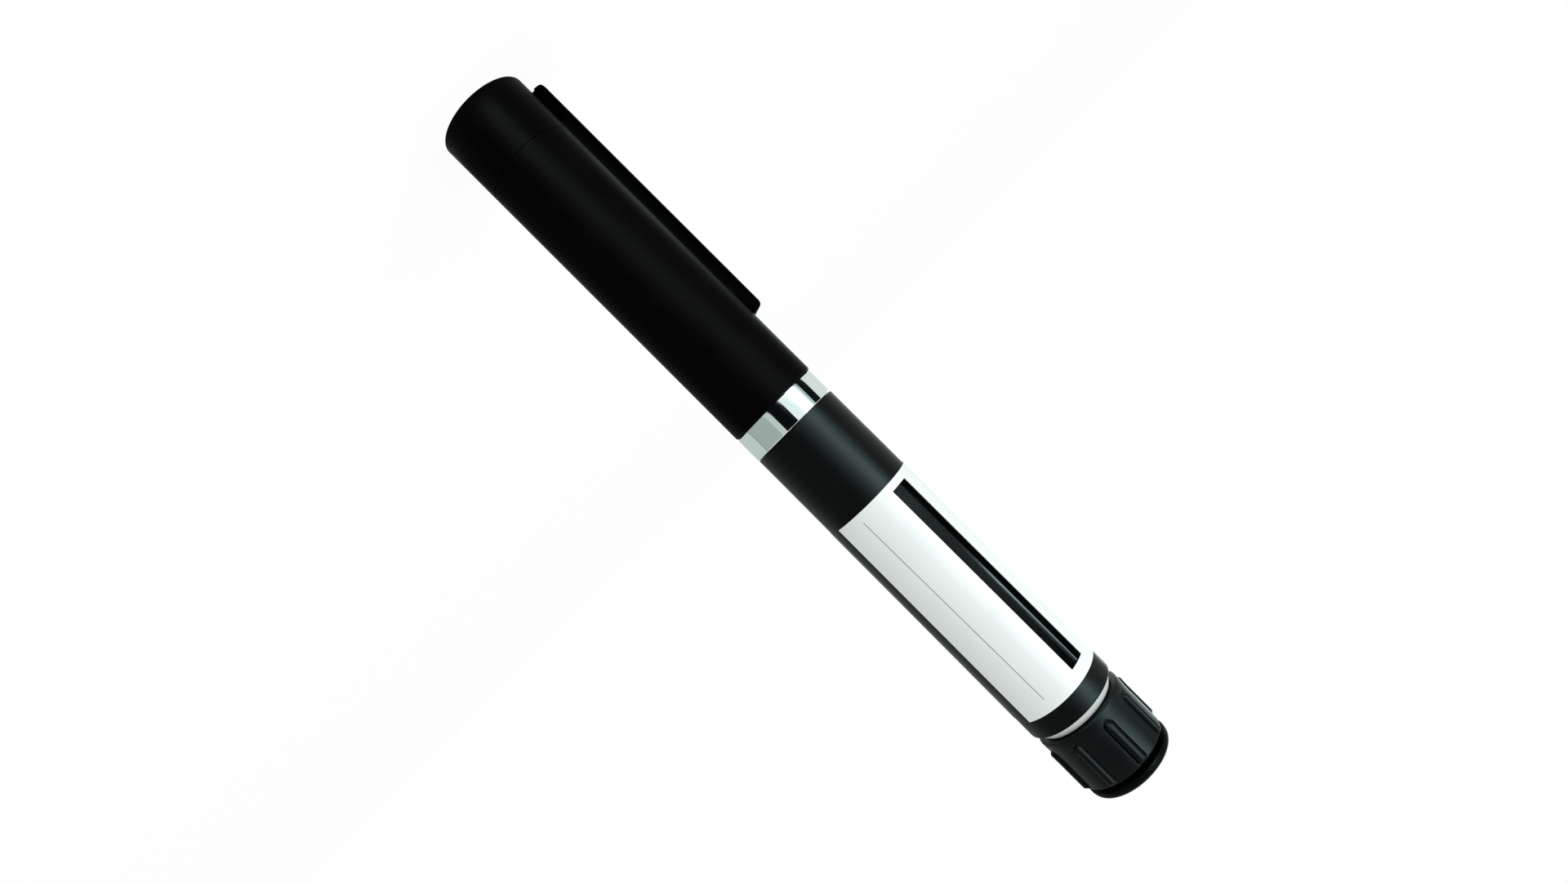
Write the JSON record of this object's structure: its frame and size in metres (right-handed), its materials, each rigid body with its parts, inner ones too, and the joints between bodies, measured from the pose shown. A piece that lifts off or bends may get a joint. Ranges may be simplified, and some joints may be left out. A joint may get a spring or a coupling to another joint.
{
  "type": "injection pen",
  "caption": "Capped dial-a-dose injection pen: black cap with pocket clip, chrome collar, barrel with label and long window, ribbed dose knob and domed button.",
  "frame": {"origin": "centre of the cap's flat closed end, on which the closed pen stands", "axes": "+Z along the pen's axis, from the cap's closed end to the dose button; the pocket clip is on the -X side"},
  "size_m": [0.0199, 0.018, 0.1558],
  "materials": {
    "cap_black": "satin moulded ABS, near black",
    "clip_black": "moulded clip, slightly glossier black",
    "chrome_ring": "bright chrome plate",
    "barrel_black": "black satin-gloss polycarbonate",
    "inner_black": "dark moulded inner body",
    "lens_clear": "clear smoked lens",
    "label_white": "white film label, bare but for plain rules",
    "trim_silver": "satin bright bevel",
    "holder_clear": "clear moulded copolyester",
    "cartridge_clear": "borosilicate glass",
    "seal_aluminium": "crimped aluminium",
    "septum_rubber": "reddish bromobutyl rubber",
    "grey_rubber": "grey bromobutyl rubber",
    "white_acetal": "natural acetal",
    "grey_acetal": "light grey acetal",
    "drum_black": "black drum with printed numbers",
    "knob_black": "black satin ABS with moulded ribs",
    "spring_steel": "spring steel wire"
  },
  "bodies": {
    "cap": {"cap_crown": "cap_black", "cap_end_plug": "cap_black", "cap_tube": "cap_black", "cap_liner": "inner_black"},
    "clip": {"clip": "clip_black"},
    "pen": {"collar_ring": "chrome_ring", "barrel": "barrel_black", "inner_housing": "inner_black", "window_lens": "lens_clear", "label": "label_white", "end_trim": "trim_silver", "cartridge_holder": "holder_clear", "cartridge_glass": "cartridge_clear", "crimp_seal": "seal_aluminium", "septum": "septum_rubber", "cartridge_cushion": "grey_rubber", "drive_nut": "white_acetal", "guide_tube": "grey_acetal"},
    "piston": {"stopper": "grey_rubber", "rod_foot": "white_acetal"},
    "screw": {"plunger_rod": "white_acetal"},
    "drive": {"drive_sleeve": "grey_acetal", "clutch_ring": "grey_acetal"},
    "dial": {"number_drum": "drum_black", "dial_knob": "knob_black", "button_spring": "spring_steel"},
    "button": {"dose_button": "knob_black"}
  },
  "joints": [
    {"name": "clip_flex", "type": "hinge", "parent": "cap", "child": "clip", "pos_m": [-0.0083, 0, 0.00555], "axis": [0, -1, 0], "range_deg": [0, 3], "stiffness_Nm_per_rad": 0.5, "springref_deg": -0.57},
    {"name": "pen_lift", "type": "slide", "parent": "cap", "child": "pen", "axis": [0, 0, 1], "range_m": [0, 0.09]},
    {"name": "rod_feed", "type": "slide", "parent": "pen", "child": "piston", "axis": [0, 0, -1], "range_m": [0, 0.031]},
    {"name": "rod_turn", "type": "hinge", "parent": "piston", "child": "screw", "pos_m": [0, 0, 0.1], "axis": [0, 0, -1], "range_deg": [0, 1801]},
    {"name": "dose_travel", "type": "slide", "parent": "pen", "child": "drive", "axis": [0, 0, 1], "range_m": [0, 0.02]},
    {"name": "dose_dial", "type": "hinge", "parent": "drive", "child": "dial", "pos_m": [0, 0, 0.14217], "axis": [0, 0, -1], "range_deg": [0, 901]},
    {"name": "button_press", "type": "slide", "parent": "dial", "child": "button", "axis": [0, 0, -1], "range_m": [0, 0.0008], "stiffness_N_per_m": 400, "springref_m": -0.002, "deforming": ["button_spring"]}
  ],
  "couplings": [
    {"joint": "dose_dial", "follows": "dose_travel", "rad_per_m": 785.4},
    {"joint": "rod_turn", "follows": "rod_feed", "rad_per_m": 1013.4}
  ]
}
